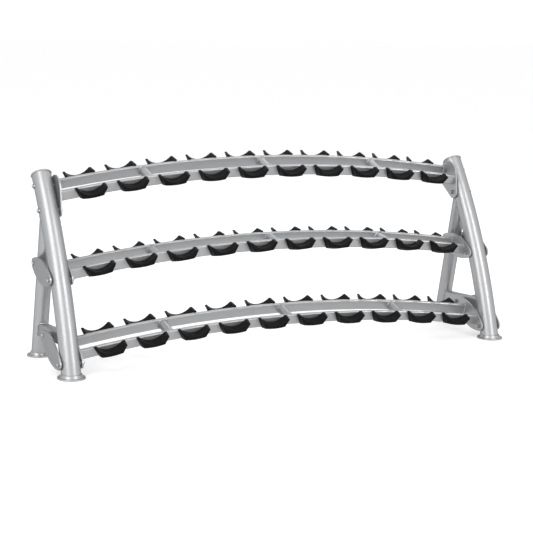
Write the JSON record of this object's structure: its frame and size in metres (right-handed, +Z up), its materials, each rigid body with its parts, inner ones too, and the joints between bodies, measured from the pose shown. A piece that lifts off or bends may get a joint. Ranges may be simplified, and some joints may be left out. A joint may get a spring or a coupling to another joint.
{
  "type": "dumbbell rack",
  "caption": "Free-standing three-tier dumbbell rack: arched twin-rail tiers with black moulded saddles, bolted between two bowed tube end frames with round feet.",
  "frame": {"origin": "centre of the footprint on the floor, at the middle of the rack's length and depth", "axes": "+X along the rack to the user's right, -Y towards the user, +Z up"},
  "size_m": [2.638, 0.645, 1.0474],
  "materials": {
    "silver_coat": "satin metallic powder coat",
    "black_moulding": "fine grain",
    "zinc": "bright zinc"
  },
  "bodies": {
    "root": {"left_front_leg": "silver_coat", "right_front_leg": "silver_coat", "left_rear_leg": "silver_coat", "right_rear_leg": "silver_coat", "left_brace": "silver_coat", "right_brace": "silver_coat", "left_leg_cap": "silver_coat", "right_leg_cap": "silver_coat", "left_front_foot": "silver_coat", "right_front_foot": "silver_coat", "left_rear_foot": "silver_coat", "right_rear_foot": "silver_coat", "left_sleeves": "silver_coat", "right_sleeves": "silver_coat", "top_front_rail": "silver_coat", "top_rear_rail": "silver_coat", "top_cross_tubes": "silver_coat", "top_front_saddles": "black_moulding", "top_rear_saddles": "black_moulding", "top_left_flange": "silver_coat", "top_right_flange": "silver_coat", "middle_front_rail": "silver_coat", "middle_rear_rail": "silver_coat", "middle_cross_tubes": "silver_coat", "middle_front_saddles": "black_moulding", "middle_rear_saddles": "black_moulding", "middle_left_flange": "silver_coat", "middle_left_outer_plate": "silver_coat", "middle_right_flange": "silver_coat", "middle_right_outer_plate": "silver_coat", "bottom_front_rail": "silver_coat", "bottom_rear_rail": "silver_coat", "bottom_cross_tubes": "silver_coat", "bottom_front_saddles": "black_moulding", "bottom_rear_saddles": "black_moulding", "bottom_left_flange": "silver_coat", "bottom_left_outer_plate": "silver_coat", "bottom_right_flange": "silver_coat", "bottom_right_outer_plate": "silver_coat", "left_frame_bolts": "zinc", "left_frame_nuts": "zinc", "right_frame_bolts": "zinc", "right_frame_nuts": "zinc"}
  },
  "joints": []
}
